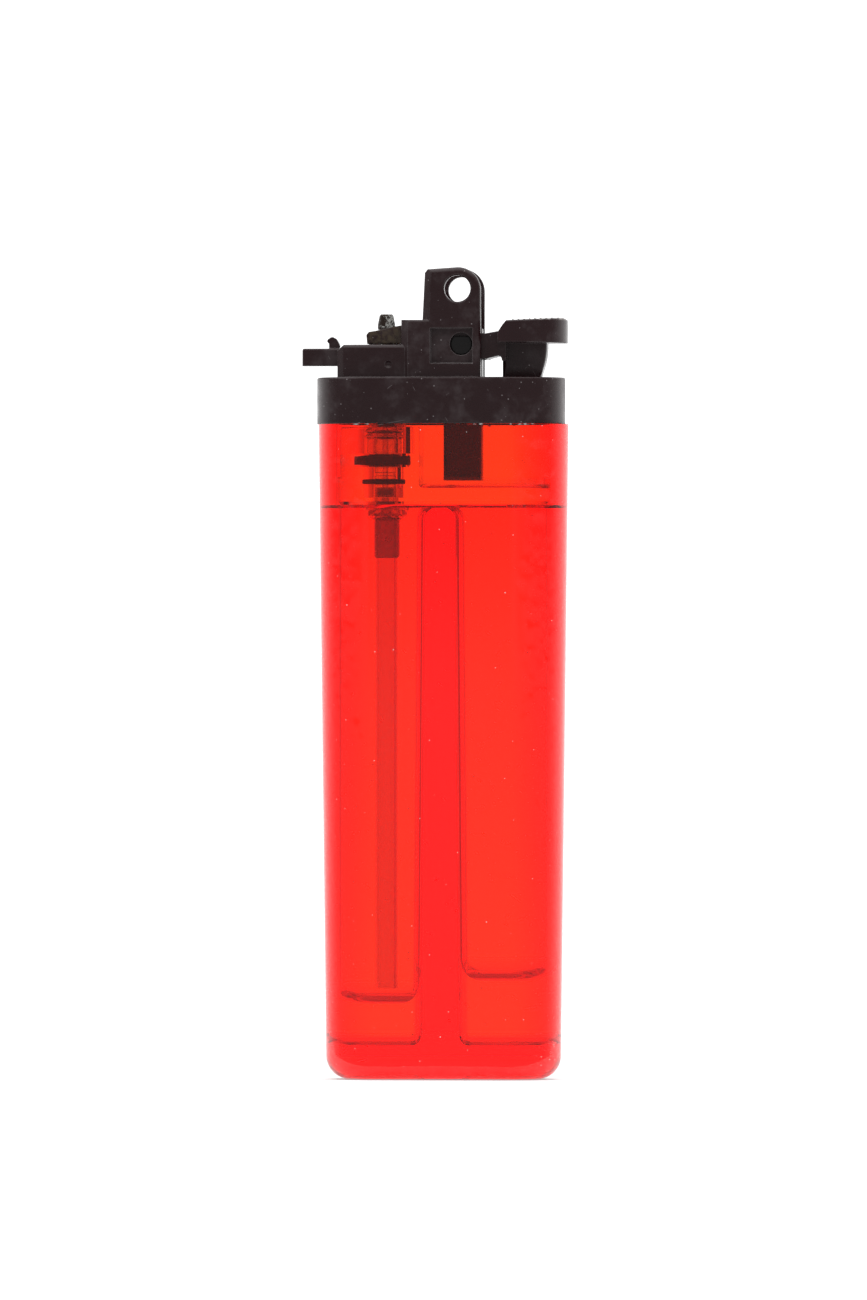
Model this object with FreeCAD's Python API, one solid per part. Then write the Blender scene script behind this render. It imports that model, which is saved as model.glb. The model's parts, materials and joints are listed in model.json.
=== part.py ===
import FreeCAD
import Part
import math
import os

# Disposable flint lighter with its wind hood and spark wheel taken off.
# Frame: origin at the centre of the tank's flat base, +Z up the tank, +X from the flame
# end to the thumb pad, +Y to the back. Millimetres throughout.

V = FreeCAD.Vector
UP = V(0, 0, 1)

# ---- tank -------------------------------------------------------------------------------
TANK_TOP = 63.2                 # shoulder that the head's skirt sits on
TANK_TOP_HALF = (12.1, 5.4)     # half length and half depth at the shoulder
TANK_BASE_HALF = (11.35, 4.95)  # the same at the base: the mould's draft
BASE_ROUND = 2.2
FLOOR = 3.3                     # thickness of the tank's bottom
CELL_TOP_HALF = (10.1, 3.8)
CELL_BASE_HALF = (10.0, 3.65)
DIVIDER_X = -0.12
DIVIDER_HALF = (1.82, 1.42)     # half thickness at the floor and at its top
DIVIDER_TOP = 55.1
CELL_CORNER = 0.95
CELL_FLOOR_ROUND = 1.1
CREST_ROUND = 1.15
LEDGE = 55.4                    # step that the plug rests on
MOUTH_HALF = (10.5, 4.2)
SEAT_HALF = (10.4, 4.1)         # inner edge of the step; a 45 degree slope runs down from it
NECK_TOP = 66.2
NECK_HALF = (11.0, 4.7)
GATE_WELL = (1.15, 0.85, 0.35)  # mouth radius, inner radius, depth of the moulding gate's well

# ---- clear plug that closes the tank ------------------------------------------------------
GAP = 0.02                      # weld line between the plug and the tank
PLUG_HALF = (10.45, 4.15)
PLATE_TOP = 57.0
RIM_TOP = 58.05
RIM_WALL = 0.5
PLUG_BEVEL = 0.3               # bevel round the bottom, where the glue gathers
POCKET_ROUND = 0.45
TOWER_HALF = (10.2, 3.9)
TOWER_RIGHT = -2.15
TOWER_TOP = 62.9
BOSS_BOTTOM = 54.0

# ---- valve, on one vertical axis ----------------------------------------------------------
VALVE_X = -5.52
BODY_R = 1.62
BODY_BORE_R = 0.95
BODY_Z = (56.15, 65.2)
GASKET_R = 2.3
GASKET_Z = (59.1, 60.3)
O_RING_Z = 57.65
O_RING_WIRE = 0.25
O_RING_CENTRE_R = BODY_R - O_RING_WIRE + 0.18
O_RING_R_OUT = O_RING_CENTRE_R + O_RING_WIRE
VALVE_SEAT = 62.2                # floor of the chamber that the jet's seal closes
SCREW_R = 2.8
SCREW_Z = (60.4, 63.0)
THREAD_PITCH = 0.55
THREAD_FOOT = 61.75              # plain below this
SPINDLE_R = 1.95                # plain part of the adjusting screw, through the head
SPLINE_R = 1.72
SPLINE_Z = (68.6, 70.35)
SPLINES = 12
HOLDER_R = 1.31
HOLDER_Z = (50.3, 56.1)
TUBE_R = 1.1
TUBE_WALL = 0.3
TUBE_BOTTOM = 8.4

# ---- head ---------------------------------------------------------------------------------
HEAD_X = -0.23                  # the head sits this far off the tank's centre
HEAD_HALF = (12.0, 5.35)
SKIRT_WALL = 0.6
SKIRT_BOTTOM = TANK_TOP + GAP
DECK = (66.7, 67.7)
HOUSING_TOP = 70.85
HOUSING_WALL = 0.8
SLOT_HALF = 2.5                 # slot in the housing's end for the adjuster's tab
BLOCK_X = (-3.87, 3.8)
BLOCK_Y = (3.0, 4.15)           # inner and outer face of the two side walls
BLOCK_TOP = 73.22
EAR_X = -1.6
EAR_TOP = 78.3
EAR_CORNER = 2.2
AXLE = (1.56, 76.22)             # x and z of the spark wheel's axle holes
AXLE_R = 1.27
PIVOT = (1.9, 70.9)           # x and z of the thumb lever's pivot
PIVOT_R = 1.03
PIVOT_CLEARANCE = 0.05
TRUNNION_END = 3.2
WINDOW_X = (-1.04, 3.02)        # shallow window round each pivot hole
WINDOW_Z = (69.05, 72.42)
WINDOW_DEPTH = 0.6
FLINT_X = 1.95
FLINT_TUBE = 3.7                # outside of the square flint tube
FLINT_BORE_R = 1.27
FLINT_TUBE_Z = (57.8, 72.4)

FLINT_Z = (69.9, 72.3)
FUEL_LEVELS = (7.8, 10.1)       # height of the liquid in the valve's cell and in the other

# ---- thumb lever --------------------------------------------------------------------------
LEVER_Y = 2.85                  # half width between the head's walls
ARM_Y = 2.05                    # inner face of the arms that pass the flint tube
PAD_RIGHT = 12.03
PAD_HALF = 4.5
RIBS = 9
RIB_PITCH = 0.53
STEM_X = 5.8
STEM_RADIUS = 8.2              # outer side of the stem, about the pivot
STEM_BOTTOM = 66.9
STEM_HALF = 1.75
SPRING_X = 7.25
SPRING_BORE_R = 1.12
SPRING_SEAT = 64.3
SPRING_TOP = 70.3

# ---- flame adjuster -----------------------------------------------------------------------
ADJUSTER_Z = (68.83, 70.52)
ADJUSTER_R = 2.85
TAB_LEFT = -13.62
TAB_HALF = 1.05

# ---- jet ----------------------------------------------------------------------------------
JET_STEM_R = 0.8
JET_NECK_R = 0.55
JET_HEAD_Z = (72.35, 73.83)
JET_SEAT = 63.2


def wire_of(edges):
    return Part.Wire([e.toShape() if hasattr(e, "toShape") else e for e in edges])


def stadium(half, z, x=0.0):
    """Closed outline with semicircular ends. half is (half length, half depth)."""
    straight, r = half[0] - half[1], half[1]
    a, b = V(x - straight, -r, z), V(x + straight, -r, z)
    c, d = V(x + straight, r, z), V(x - straight, r, z)
    return wire_of([
        Part.LineSegment(a, b),
        Part.Arc(b, V(x + straight + r, 0, z), c),
        Part.LineSegment(c, d),
        Part.Arc(d, V(x - straight - r, 0, z), a),
    ])


def prism(wire, height):
    return Part.Face(wire).extrude(V(0, 0, height))


def stadium_prism(half, z0, z1, x=0.0):
    return prism(stadium(half, z0, x), z1 - z0)


def cylinder(r, z0, z1, x=0.0, y=0.0):
    return Part.makeCylinder(r, z1 - z0, V(x, y, z0), UP)


def box(x0, x1, y0, y1, z0, z1):
    return Part.makeBox(x1 - x0, y1 - y0, z1 - z0, V(x0, y0, z0))


def polygon(points):
    return Part.makePolygon(points + [points[0]])


def side_profile(points, y0, y1):
    """Solid from an outline of (x, z) points, between two depths."""
    wire = polygon([V(x, y0, z) for x, z in points])
    return Part.Face(wire).extrude(V(0, y1 - y0, 0))


def turned(points, x=0.0):
    """Solid turned about a vertical axis from (radius, z) points."""
    wire = polygon([V(r, 0, z) for r, z in points])
    solid = Part.Face(wire).revolve(V(0, 0, 0), UP, 360)
    solid.translate(V(x, 0, 0))
    return solid


def round_edges(solid, radius, wanted):
    """Fillets the edges whose centre passes the test."""
    edges = [e for e in solid.Edges if wanted(e)]
    return solid.makeFillet(radius, edges) if edges else solid


def bevel_edges(solid, size, wanted):
    edges = [e for e in solid.Edges if wanted(e)]
    return solid.makeChamfer(size, edges) if edges else solid


def middle(edge):
    return edge.valueAt((edge.FirstParameter + edge.LastParameter) / 2)


def spans(edge, axis):
    """True for a straight edge along that axis, 0 to 2."""
    box_ = edge.BoundBox
    size = (box_.XLength, box_.YLength, box_.ZLength)
    return size[axis] > 0.05 and all(size[k] < 1e-4 for k in range(3) if k != axis)


def coil(x, radius, wire_r, z0, z1, turns):
    """Round-wire compression spring, standing between two heights."""
    low, high = z0 + wire_r, z1 - wire_r
    helix = Part.makeHelix((high - low) / turns, high - low, radius)
    section = Part.Wire([Part.makeCircle(wire_r, V(radius, 0, 0), V(0, 1, 0))])
    spring = Part.Wire(helix.Edges).makePipeShell([section], True, True)
    spring.translate(V(x, 0, low))
    return spring


def lofted_stadium(low_half, high_half, z0, z1):
    return Part.makeLoft([stadium(low_half, z0), stadium(high_half, z1)], True, True)


# ---- tank and plug ------------------------------------------------------------------------
def half_at(low, high, z, z0, z1):
    share = (z - z0) / (z1 - z0)
    return tuple(a + (b - a) * share for a, b in zip(low, high))


def cell(side):
    """One fuel cell: side is -1 for the valve's, 1 for the flint's."""
    whole = lofted_stadium(CELL_BASE_HALF, CELL_TOP_HALF, FLOOR, DIVIDER_TOP)
    reach = 30.0
    low, high = (DIVIDER_X + side * h for h in DIVIDER_HALF)
    r = CREST_ROUND
    foot, spring = V(low, -reach, FLOOR), V(high, -reach, DIVIDER_TOP - r)
    crest = V(high - side * r, -reach, DIVIDER_TOP)
    bulge = V(high - side * r * (1 - math.sin(math.pi / 4)), -reach,
              DIVIDER_TOP - r * (1 - math.cos(math.pi / 4)))
    far_top, far_foot = V(side * reach, -reach, DIVIDER_TOP), V(side * reach, -reach, FLOOR)
    keep = Part.Face(wire_of([
        Part.LineSegment(foot, spring),
        Part.Arc(spring, bulge, crest),
        Part.LineSegment(crest, far_top),
        Part.LineSegment(far_top, far_foot),
        Part.LineSegment(far_foot, foot),
    ])).extrude(V(0, 2 * reach, 0))
    part = whole.common(keep)

    def upright_at_divider(edge):
        box_ = edge.BoundBox
        return box_.ZLength > 40 and abs(middle(edge).x) < 3

    def at_floor(edge):
        return edge.BoundBox.ZMax < FLOOR + 0.01

    part = round_edges(part, CELL_CORNER, upright_at_divider)
    return round_edges(part, CELL_FLOOR_ROUND, at_floor)


def tank():
    shell = lofted_stadium(TANK_BASE_HALF, TANK_TOP_HALF, 0, TANK_TOP)
    shell = round_edges(shell, BASE_ROUND, lambda e: e.BoundBox.ZMax < 0.01)
    shell = shell.fuse(stadium_prism(NECK_HALF, TANK_TOP, NECK_TOP))
    mouth = stadium_prism(MOUTH_HALF, LEDGE, NECK_TOP + 1)
    gallery = lofted_stadium(CELL_TOP_HALF, SEAT_HALF, DIVIDER_TOP, LEDGE)
    for hollow in (mouth, gallery, cell(-1), cell(1)):
        shell = shell.cut(hollow)
    pip_r = 1.1
    pip = Part.makeSphere(pip_r, V(DIVIDER_X, 0, DIVIDER_TOP - pip_r + 0.25))
    shell = shell.fuse(pip.common(cylinder(pip_r, DIVIDER_TOP - 0.5, LEDGE, DIVIDER_X)))
    mouth_r, top_r, depth = GATE_WELL
    well = turned([(0, -1), (mouth_r, -1), (mouth_r, 0), (top_r, depth), (0, depth)])
    return shell.cut(well).removeSplitter()


def tank_plug():
    low = LEDGE + GAP
    plate = stadium_prism(PLUG_HALF, low, PLATE_TOP)
    rim = stadium_prism(PLUG_HALF, PLATE_TOP, RIM_TOP)
    inner = (PLUG_HALF[0] - RIM_WALL, PLUG_HALF[1] - RIM_WALL)
    rim = rim.cut(stadium_prism(inner, PLATE_TOP, RIM_TOP))
    plate = bevel_edges(plate, PLUG_BEVEL, lambda e: e.BoundBox.ZMax < low + 0.01)
    plug = plate.fuse(rim)
    tower = stadium_prism(TOWER_HALF, PLATE_TOP, TOWER_TOP)
    tower = tower.common(box(-20, TOWER_RIGHT, -10, 10, PLATE_TOP, TOWER_TOP))
    plug = plug.fuse(tower).removeSplitter()

    def pocket_foot(edge):
        m = middle(edge)
        return abs(m.z - PLATE_TOP) < 0.01 and abs(edge.BoundBox.ZLength) < 0.01 and m.x > TOWER_RIGHT - 0.1

    plug = round_edges(plug, POCKET_ROUND, pocket_foot)
    plug = round_edges(plug, 0.15, lambda e: e.BoundBox.ZMin > TOWER_TOP - 0.01)
    boss = turned([(0, low), (2.27, low), (2.2, 54.9), (1.95, 54.35), (1.5, BOSS_BOTTOM), (0, BOSS_BOTTOM)],
                  VALVE_X)
    plug = plug.fuse(boss)
    bores = [
        (SCREW_R + 0.05, GASKET_Z[1] + 0.05, TOWER_TOP),
        (GASKET_R + 0.08, GASKET_Z[0] - 0.05, GASKET_Z[1] + 0.05),
        (O_RING_R_OUT + 0.03, HOLDER_Z[1], GASKET_Z[0] - 0.05),
        (HOLDER_R + 0.04, BOSS_BOTTOM, HOLDER_Z[1]),
    ]
    for r, z0, z1 in bores:
        plug = plug.cut(cylinder(r, z0, z1, VALVE_X))
    return plug.removeSplitter()


# ---- valve --------------------------------------------------------------------------------
def valve_body():
    z0, z1 = BODY_Z
    groove = O_RING_CENTRE_R - O_RING_WIRE - 0.02
    half = O_RING_WIRE + 0.04
    outside = [
        (0, z0), (BODY_R, z0), (BODY_R, O_RING_Z - half), (groove, O_RING_Z - half),
        (groove, O_RING_Z + half), (BODY_R, O_RING_Z + half), (BODY_R, 58.2),
        (BODY_R - 0.2, 58.25), (BODY_R - 0.2, 58.5), (BODY_R, 58.55),
        (BODY_R, z1 - 0.2), (BODY_R - 0.2, z1), (0, z1),
    ]
    body = turned(outside, VALVE_X)
    body = body.cut(cylinder(BODY_BORE_R, VALVE_SEAT, z1, VALVE_X))
    body = body.cut(cylinder(1.28, z0, 57.1, VALVE_X))
    seat = cylinder(0.55, VALVE_SEAT, VALVE_SEAT + 0.2, VALVE_X)
    return body.fuse(seat).cut(cylinder(0.3, 57.0, VALVE_SEAT + 0.3, VALVE_X)).removeSplitter()


def valve_o_ring():
    return Part.makeTorus(O_RING_CENTRE_R, O_RING_WIRE, V(VALVE_X, 0, O_RING_Z), UP)


def valve_gasket():
    ring = cylinder(GASKET_R, *GASKET_Z, VALVE_X).cut(
        cylinder(BODY_R + 0.03, *GASKET_Z, VALVE_X))
    return round_edges(ring, 0.25, lambda e: e.BoundBox.XLength > 2 * GASKET_R - 0.1)


def filter_disc():
    return cylinder(1.24, 56.37, 56.85, VALVE_X)


def filter_washers():
    """Two thin steel rings, one above and one below the filter."""
    rings = [cylinder(1.25, z, z + 0.18, VALVE_X).cut(cylinder(0.45, z, z + 0.18, VALVE_X))
             for z in (56.17, 56.87)]
    return Part.makeCompound(rings)


def wick_holder():
    holder = cylinder(HOLDER_R, *HOLDER_Z, VALVE_X)
    holder = round_edges(holder, 0.3, lambda e: e.BoundBox.ZMax < HOLDER_Z[0] + 0.01)
    holder = holder.cut(cylinder(TUBE_R + 0.03, HOLDER_Z[0], 54.5, VALVE_X))
    return holder.cut(cylinder(0.4, 54.5, HOLDER_Z[1], VALVE_X))


def dip_tube():
    tube = cylinder(TUBE_R, TUBE_BOTTOM, 54.4, VALVE_X)
    return tube.cut(cylinder(TUBE_R - TUBE_WALL, TUBE_BOTTOM, 54.4, VALVE_X))


def adjuster_screw():
    """Threaded sleeve that squeezes the gasket and filter; its top is splined.

    The thread is drawn as rings of the real pitch and depth.
    """
    root = SCREW_R - 0.3
    z0, z1 = SCREW_Z
    outline = [(0, z0), (root, z0)]
    turns = int((z1 - THREAD_FOOT) / THREAD_PITCH)
    for k in range(turns):
        foot = THREAD_FOOT + k * THREAD_PITCH
        outline += [(root, foot), (SCREW_R, foot + 0.2),
                    (SCREW_R, foot + 0.3), (root, foot + 0.5)]
    outline += [(root, z1), (SPINDLE_R, z1), (SPINDLE_R, SPLINE_Z[0]), (SPLINE_R, SPLINE_Z[0]),
                (SPLINE_R, SPLINE_Z[1] - 0.15), (SPLINE_R - 0.15, SPLINE_Z[1]),
                (0, SPLINE_Z[1])]
    screw = turned(outline, VALVE_X)
    screw = screw.cut(cylinder(BODY_R + 0.06, z0, BODY_Z[1] + 0.1, VALVE_X))
    screw = screw.cut(cylinder(JET_STEM_R + 0.08, z0, SPLINE_Z[1], VALVE_X))
    for k in range(SPLINES):
        a = 2 * math.pi * k / SPLINES
        screw = screw.cut(cylinder(0.22, *SPLINE_Z, VALVE_X + SPLINE_R * math.cos(a),
                                   SPLINE_R * math.sin(a)))
    return screw


def jet():
    low, high = JET_HEAD_Z
    outline = [
        (0, JET_SEAT), (JET_STEM_R, JET_SEAT), (JET_STEM_R, 70.4), (0.92, 70.45),
        (0.92, 70.7), (JET_NECK_R, 70.75), (JET_NECK_R, low), (0.82, low),
        (0.86, low + 0.2), (0.83, low + 0.55), (0.67, high - 0.14), (0.56, high), (0, high),
    ]
    tube = turned(outline, VALVE_X).cut(cylinder(0.2, JET_SEAT + 1.0, high, VALVE_X))
    inlet = Part.makeCylinder(0.2, 4, V(VALVE_X - 2, 0, JET_SEAT + 1.2), V(1, 0, 0))
    return tube.cut(inlet)


def jet_seal():
    return cylinder(0.84, VALVE_SEAT + 0.22, JET_SEAT, VALVE_X)


# ---- head ---------------------------------------------------------------------------------
def housing_outline(z, inset=0.0):
    """Plan of the wall round the valve, narrower towards the flame end."""
    left = -10.1 + inset
    right = BLOCK_X[0] + 1.0
    corner, waist = 3.3 - inset, 3.85 - inset
    a, b = V(left, -corner + 0.6, z), V(left + 0.6, -corner, z)
    c, bulge = V(-6.5, -waist, z), V(-8.1, -(waist - 0.13), z)
    d = V(right, -waist, z)
    front = [Part.LineSegment(a, b), Part.Arc(b, bulge, c), Part.LineSegment(c, d)]

    def back(p):
        return V(p.x, -p.y, p.z)

    return wire_of(front + [
        Part.LineSegment(d, back(d)),
        Part.LineSegment(back(d), back(c)),
        Part.Arc(back(c), back(bulge), back(b)),
        Part.LineSegment(back(b), back(a)),
        Part.LineSegment(back(a), a),
    ])


def housing():
    """Wall round the valve, open at its end for the adjuster's tab."""
    height = HOUSING_TOP - DECK[1]
    wall = prism(housing_outline(DECK[1]), height)
    wall = wall.cut(side_profile([(-11, 70.25), (-11, 72), (-8.5, 72), (-9.45, HOUSING_TOP),
                                  (-10.1, 70.25)], -5, 5))

    def top_side(edge):
        m = middle(edge)
        return abs(m.z - HOUSING_TOP) < 0.01 and abs(m.y) > 3.0 and m.x > -9.3

    wall = round_edges(wall, 0.45, top_side)
    wall = wall.cut(prism(housing_outline(DECK[1], HOUSING_WALL), height + 1))
    wall = wall.cut(box(-11, -8.5, -SLOT_HALF, SLOT_HALF, 68.6, 72))
    collar = cylinder(2.8, DECK[1], 68.7, VALVE_X)
    for side in (-1, 1):
        dimple = Part.makeSphere(0.45, V(-5.1, side * 4.12, 68.95))
        wall = wall.cut(dimple)
    return wall.fuse(collar)


def side_wall():
    """Front wall of the wheel bracket with its ear; the back one is its mirror image."""
    inner, outer = BLOCK_Y
    left, right = BLOCK_X
    block = box(left, right, -outer, -inner, DECK[1], BLOCK_TOP)
    cx, cz = right - EAR_CORNER, EAR_TOP - EAR_CORNER
    lean = 0.27
    low_left, top_left = V(EAR_X - lean, -outer, BLOCK_TOP - 1), V(EAR_X, -outer, EAR_TOP - 0.55)
    shoulder = V(EAR_X + 0.3, -outer, EAR_TOP - 0.2)
    arc_mid = V(cx + EAR_CORNER * math.sin(math.pi / 4), -outer,
                cz + EAR_CORNER * math.cos(math.pi / 4))
    ear = Part.Face(wire_of([
        Part.LineSegment(low_left, top_left),
        Part.LineSegment(top_left, shoulder),
        Part.LineSegment(shoulder, V(cx, -outer, EAR_TOP)),
        Part.Arc(V(cx, -outer, EAR_TOP), arc_mid, V(right, -outer, cz)),
        Part.LineSegment(V(right, -outer, cz), V(right, -outer, BLOCK_TOP - 1)),
        Part.LineSegment(V(right, -outer, BLOCK_TOP - 1), low_left),
    ])).extrude(V(0, outer - inner, 0))
    wall = block.fuse(ear).removeSplitter()

    def outer_left(edge):
        m = middle(edge)
        on_face = abs(m.y + outer) < 0.01 and edge.BoundBox.YLength < 0.01
        leftish = abs(m.x - left) < 0.01 or (m.x < EAR_X + 0.1 and m.z > BLOCK_TOP + 0.1)
        return on_face and edge.BoundBox.ZLength > 2 and leftish

    def outer_rest(edge):
        m = middle(edge)
        on_face = abs(m.y + outer) < 0.01 and edge.BoundBox.YLength < 0.01
        return on_face and (m.z > EAR_TOP - 2.3 or abs(m.x - right) < 0.01) and m.x > EAR_X + 0.3

    wall = bevel_edges(wall, 0.65, outer_left)
    wall = round_edges(wall, 0.5, outer_rest)

    def block_top(edge):
        m = middle(edge)
        return spans(edge, 0) and abs(m.z - BLOCK_TOP) < 0.01 and abs(m.y + outer) < 0.01

    wall = round_edges(wall, 0.25, block_top)
    depth = outer - WINDOW_DEPTH
    wall = wall.cut(box(*WINDOW_X, -outer - 1, -depth, *WINDOW_Z))
    for (x, z), r in ((AXLE, AXLE_R), (PIVOT, PIVOT_R + PIVOT_CLEARANCE)):
        wall = wall.cut(Part.makeCylinder(r, 4, V(x, -outer - 1, z), V(0, 1, 0)))

    def hole_mouth(edge):
        m = edge.BoundBox.Center
        return (abs(m.x - AXLE[0]) < 0.01 and abs(m.z - AXLE[1]) < 0.01
                and abs(m.y + outer) < 0.01 and edge.BoundBox.YLength < 0.01)

    return bevel_edges(wall, 0.12, hole_mouth)


def flint_tube():
    half = FLINT_TUBE / 2
    z0, z1 = FLINT_TUBE_Z
    tube = box(FLINT_X - half, FLINT_X + half, -half, half, z0, z1)
    tube = round_edges(tube, 0.6, lambda e: spans(e, 2))
    return tube


def spring_box():
    """Box under the deck that holds the foot of the lever's spring."""
    room = (MOUTH_HALF[0] - 0.15, MOUTH_HALF[1] - 0.15)
    low = SPRING_SEAT - 0.6
    return box(4.5, 9.9, -2.4, 2.4, low, DECK[1]).common(stadium_prism(room, low, DECK[1]))


def head():
    cap = stadium_prism(HEAD_HALF, SKIRT_BOTTOM, DECK[1], HEAD_X)
    cap = round_edges(cap, 0.18, lambda e: e.BoundBox.ZMin > DECK[1] - 0.01)
    inside = (HEAD_HALF[0] - SKIRT_WALL, HEAD_HALF[1] - SKIRT_WALL)
    cap = cap.cut(stadium_prism(inside, SKIRT_BOTTOM - 1, DECK[0], HEAD_X))
    front = side_wall()
    for extra in (front, front.mirror(V(0, 0, 0), V(0, 1, 0)), housing(), spring_box(),
                  flint_tube()):
        cap = cap.fuse(extra)
    cap = cap.cut(cylinder(SPINDLE_R + 0.08, DECK[0] - 1, 69, VALVE_X))
    stem_way = box(4.95, 9.55, -1.9, 1.9, SPRING_SEAT, DECK[1] + 0.01)
    cap = cap.cut(round_edges(stem_way, 0.5, lambda e: spans(e, 2)))
    cap = cap.fuse(cylinder(0.6, SPRING_SEAT - 0.1, SPRING_SEAT + 0.8, SPRING_X))
    cap = cap.cut(cylinder(FLINT_BORE_R, FLINT_TUBE_Z[0] + 0.6, EAR_TOP, FLINT_X))
    cap = cap.cut(cylinder(0.35, FLINT_TUBE_Z[0] - 1, FLINT_TUBE_Z[0] + 1, FLINT_X))
    return cap.removeSplitter()


# ---- thumb lever --------------------------------------------------------------------------
def lever_frame():
    """Fork, the two arms that pass the flint tube, and the beam to the pad."""
    fork = side_profile([(-7.25, 70.95), (-7.33, 71.8), (-7.08, 72.1), (-6.5, 72.18),
                         (-4.69, 72.6), (-4.1, 72.68), (-2.9, 72.8), (-0.6, 72.3), (-0.6, 70.95)],
                        -LEVER_Y, LEVER_Y)
    fork = fork.cut(box(-9, -4.2, -4, -2.3, 70, 74)).cut(box(-9, -4.2, 2.3, 4, 70, 74))

    def fork_rim(edge):
        m = middle(edge)
        return spans(edge, 1) and m.z > 71.5 and m.x < -6.9

    fork = round_edges(fork, 0.2, fork_rim)
    slot = box(-9, VALVE_X, -0.64, 0.64, 70, 74).fuse(cylinder(0.64, 70, 74, VALVE_X))
    seat = cylinder(1.15, 72.2, 75, VALVE_X)
    fork = fork.cut(slot).cut(seat)
    arm_points = [(-1.2, 70.95), (-1.2, 72.3), (0.5, 72.3), (3.2, 72.1), (4.4, 71.86),
                  (4.4, 69.48), (2.6, 69.4), (0.6, 69.9)]
    arms = side_profile(arm_points, -LEVER_Y, -ARM_Y).fuse(
        side_profile(arm_points, ARM_Y, LEVER_Y))
    beam = side_profile([(4.15, 69.46), (4.15, 71.92), (5.57, 72.17), (6.2, 72.2), (6.2, 69.3),
                         (5.81, 69.3), (5.76, 69.55), (5.62, 69.75), (5.4, 69.78)],
                        -LEVER_Y, LEVER_Y)
    return fork.fuse(arms).fuse(beam)


def trunnion(side):
    """Stub pivot with a flat on top, which lets it snap into its hole."""
    x, z = PIVOT
    start = LEVER_Y - 0.3
    pin = Part.makeCylinder(PIVOT_R, TRUNNION_END - start, V(x, side * start, z), V(0, side, 0))
    return pin.cut(box(x - 2, x + 2, -5, 5, z + 0.74, z + 2))


def pad():
    """Thumb pad, rounded in plan, with cross ribs for grip."""
    profile = side_profile([(5.45, 71.9), (5.57, 72.17), (5.95, 72.75), (6.3, 73.17),
                            (11.65, 73.43), (PAD_RIGHT, 73.2), (PAD_RIGHT, 71.0),
                            (5.45, 71.08)], -PAD_HALF, PAD_HALF)
    plan = prism(stadium((7.0, PAD_HALF), 70, PAD_RIGHT - 7.0), 5)
    plan = plan.common(box(5.45, 20, -10, 10, 70, 75))
    top = profile.common(plan)

    def rim(edge):
        m = middle(edge)
        return m.z > 73.1 and abs(m.y) > 1 and edge.BoundBox.XLength > 1

    top = round_edges(top, 0.2, rim)
    tilt = (73.43 - 73.17) / (11.65 - 6.3)
    for k in range(RIBS):
        x = 6.75 + RIB_PITCH * k
        crown = 73.17 + tilt * (x - 6.3)
        half = min(3.4, math.sqrt(max(0.0, 4.0 ** 2 - max(0.0, x + 0.3 - 7.53) ** 2)))
        rib = side_profile([(x, crown - 0.1), (x + 0.09, crown + 0.08),
                            (x + 0.2, crown + 0.08), (x + 0.3, crown - 0.1)], -half, half)
        top = top.fuse(rib)
    return top


def stem():
    """Hollow post under the pad: the spring stands in it."""
    px, pz = PIVOT
    block = box(STEM_X, 10.2, -STEM_HALF, STEM_HALF, STEM_BOTTOM, 71.3)
    around = Part.makeCylinder(STEM_RADIUS, 10, V(px, -5, pz), V(0, 1, 0))
    post = block.common(around)
    for side in (-1, 1):
        slope = Part.Face(polygon([V(0, side * (STEM_HALF + 0.01), 68.9), V(0, side * 3, 68.9),
                                   V(0, side * 3, 66), V(0, side * (STEM_HALF - 0.3), 66)]))
        post = post.cut(slope.extrude(V(20, 0, 0)))
    post = round_edges(post, 0.5, lambda e: middle(e).z > 69 and e.BoundBox.ZLength > 1.5)
    return post


def thumb_lever():
    lever = lever_frame().fuse(pad()).fuse(stem())
    lever = lever.fuse(trunnion(-1)).fuse(trunnion(1))
    lever = lever.cut(cylinder(SPRING_BORE_R, STEM_BOTTOM - 1, SPRING_TOP, SPRING_X))
    return lever.removeSplitter()


# ---- flame adjuster -----------------------------------------------------------------------
def flame_adjuster():
    """Ring on the screw's splines with the tab that a fingertip moves."""
    z0, z1 = ADJUSTER_Z
    ring = cylinder(ADJUSTER_R, z0, z1 - 0.1, VALVE_X)
    tab = box(TAB_LEFT, VALVE_X, -TAB_HALF, TAB_HALF, z0, z1)
    tab = round_edges(tab, 0.3, lambda e: spans(e, 2) and middle(e).x < TAB_LEFT + 0.1)
    tab = round_edges(tab, 0.2, lambda e: middle(e).z > z1 - 0.01 and middle(e).x < VALVE_X - 1)
    nib = side_profile([(-11.05, z1 - 0.2), (-11.05, 70.97), (-11.23, 71.18), (-11.2, 71.38),
                        (-10.9, 71.6), (-10.68, 71.64), (-10.35, 71.47), (-10.12, 71.1),
                        (-10.0, 70.8), (-10.12, z1 - 0.2)], -0.55, 0.55)
    nib = round_edges(nib, 0.12, lambda e: spans(e, 1) and middle(e).z > 71.3)
    part = ring.fuse(tab).fuse(nib)
    part = part.cut(cylinder(SPLINE_R + 0.05, z0, z1, VALVE_X))
    for k in range(SPLINES):
        a = 2 * math.pi * k / SPLINES
        r = SPLINE_R + 0.04
        tooth = cylinder(0.15, z0, z1 - 0.1, VALVE_X + r * math.cos(a), r * math.sin(a))
        part = part.fuse(tooth)
    return part.removeSplitter()


# ---- springs and flint --------------------------------------------------------------------
def lever_spring():
    return coil(SPRING_X, 0.86, 0.14, SPRING_SEAT, SPRING_TOP, 8)


def flint_spring():
    return coil(FLINT_X, 1.0, 0.13, FLINT_TUBE_Z[0] + 0.6, FLINT_Z[0], 15)


def flint():
    stone = cylinder(1.2, *FLINT_Z, FLINT_X)
    return bevel_edges(stone, 0.15, lambda e: e.BoundBox.XLength > 2)


# ---- liquid fuel left in the two cells ----------------------------------------------------
def fuel(side, level):
    return cell(side).common(box(-20, 20, -10, 10, 0, level))


def fuel_valve_side():
    return fuel(-1, FUEL_LEVELS[0])


def fuel_flint_side():
    return fuel(1, FUEL_LEVELS[1])


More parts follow.
